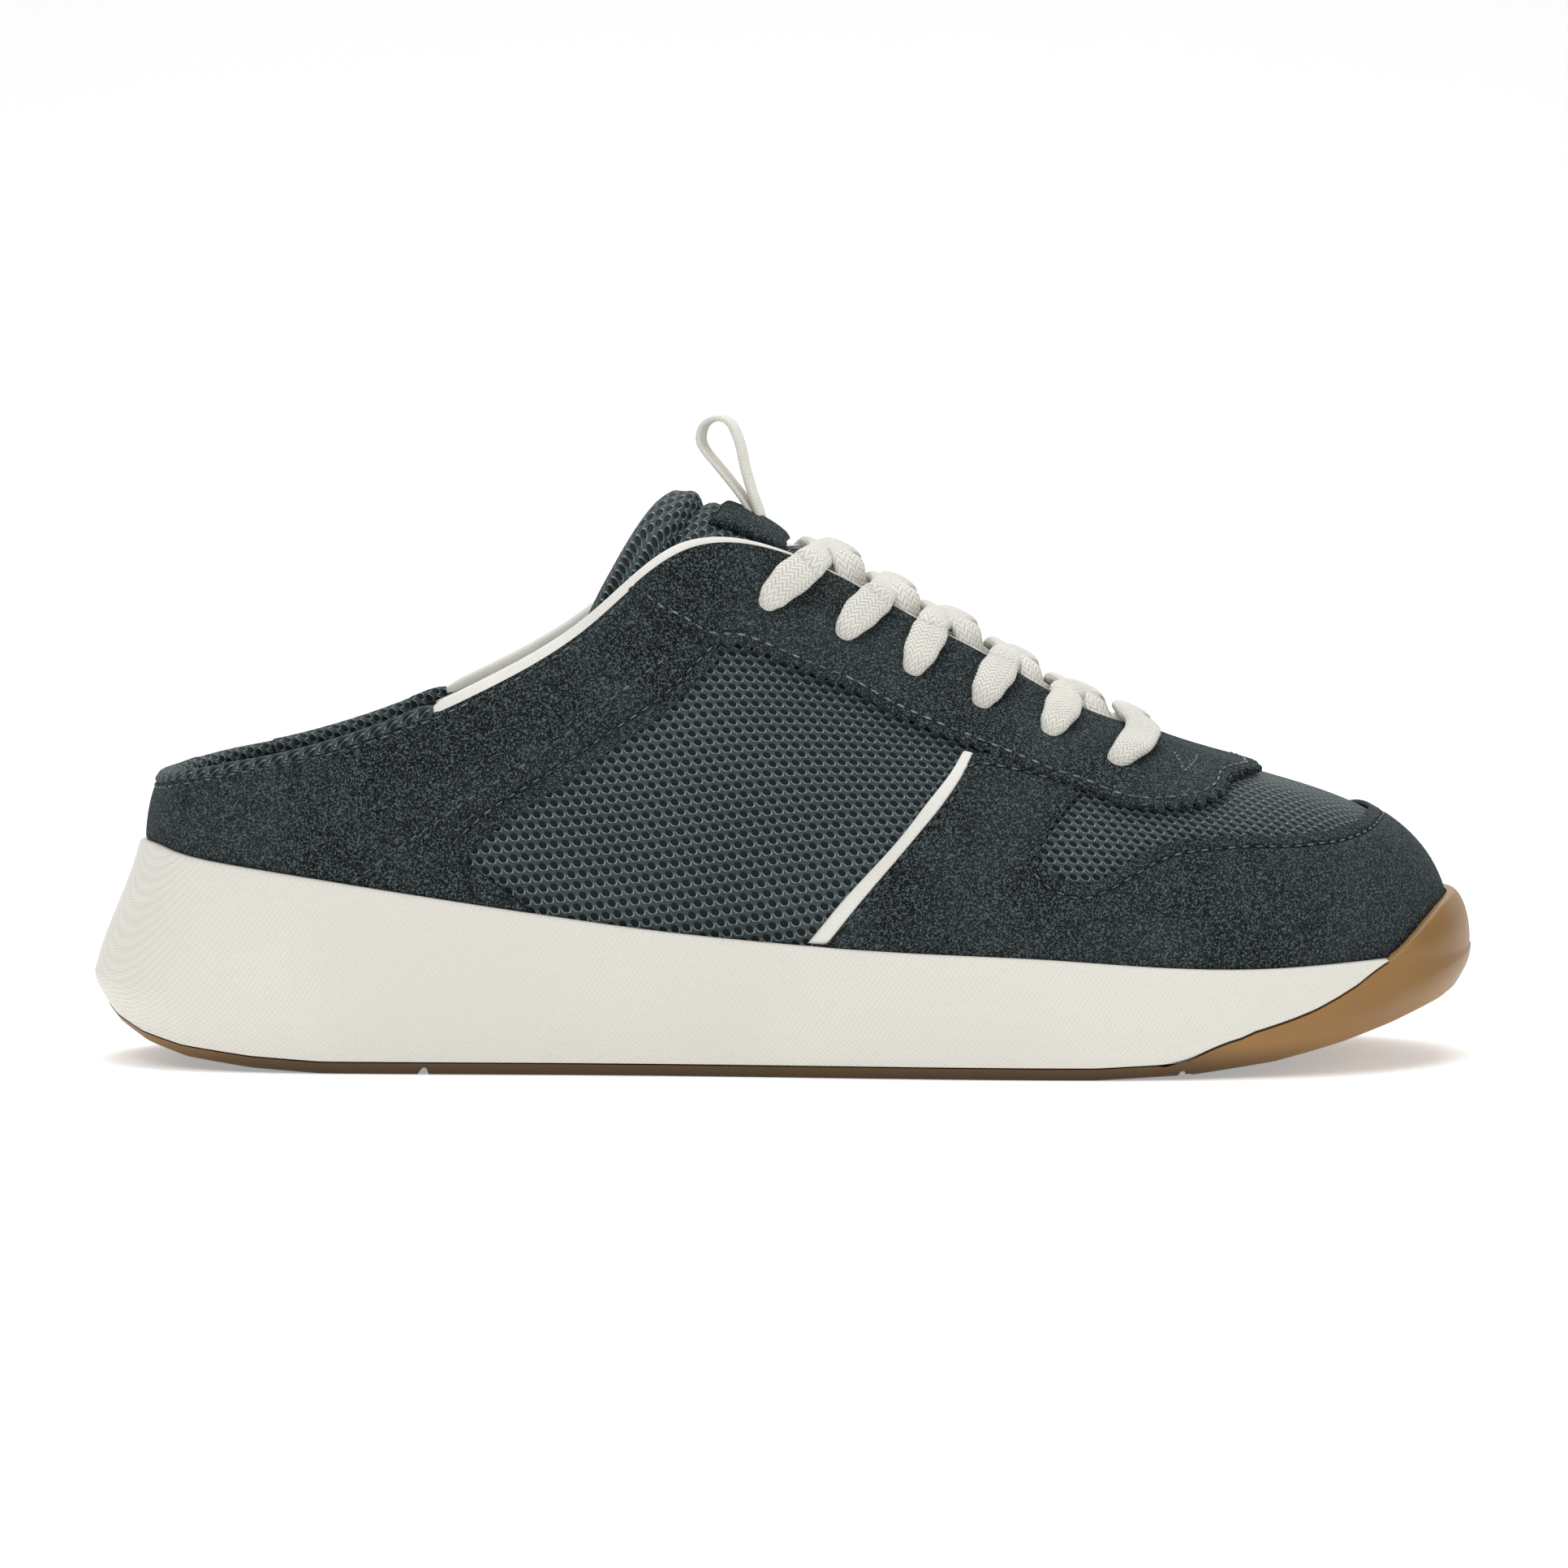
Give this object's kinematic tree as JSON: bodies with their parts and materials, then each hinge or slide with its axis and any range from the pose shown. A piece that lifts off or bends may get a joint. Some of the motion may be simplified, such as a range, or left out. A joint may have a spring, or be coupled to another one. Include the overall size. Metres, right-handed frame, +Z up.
{
  "type": "slip-on shoe",
  "caption": "Backless lace-front sneaker on a thick foam sole with a gum outsole and toe bumper, mesh and suede upper, padded tongue with a pull loop",
  "frame": {"origin": "on the ground, under the middle of the shoe's length and width", "axes": "+X towards the toe, -Y towards the outer (lateral) side of the right foot, +Z up"},
  "size_m": [0.3, 0.1077, 0.1434],
  "materials": {
    "suede": "napped suede",
    "mesh": "open knit",
    "foam": "matt, finely knurled",
    "gum": "satin",
    "cotton": "woven",
    "lining": "soft knit"
  },
  "bodies": {
    "root": {"upper": "mesh", "midsole": "foam", "outsole": "gum", "insole": "lining", "tongue": "mesh", "tongue_patch": "suede", "pull_loop": "cotton", "heel_quarter": "suede", "toe_mudguard": "suede", "eyestay": "suede", "stripe_lateral": "cotton", "stripe_medial": "cotton", "collar_binding": "cotton", "lining_lateral": "lining", "lining_medial": "lining", "lace_crossing_1": "cotton", "lace_crossing_2": "cotton", "lace_crossing_3": "cotton", "lace_crossing_4": "cotton", "lace_crossing_5": "cotton", "lace_bar": "cotton"}
  },
  "joints": []
}
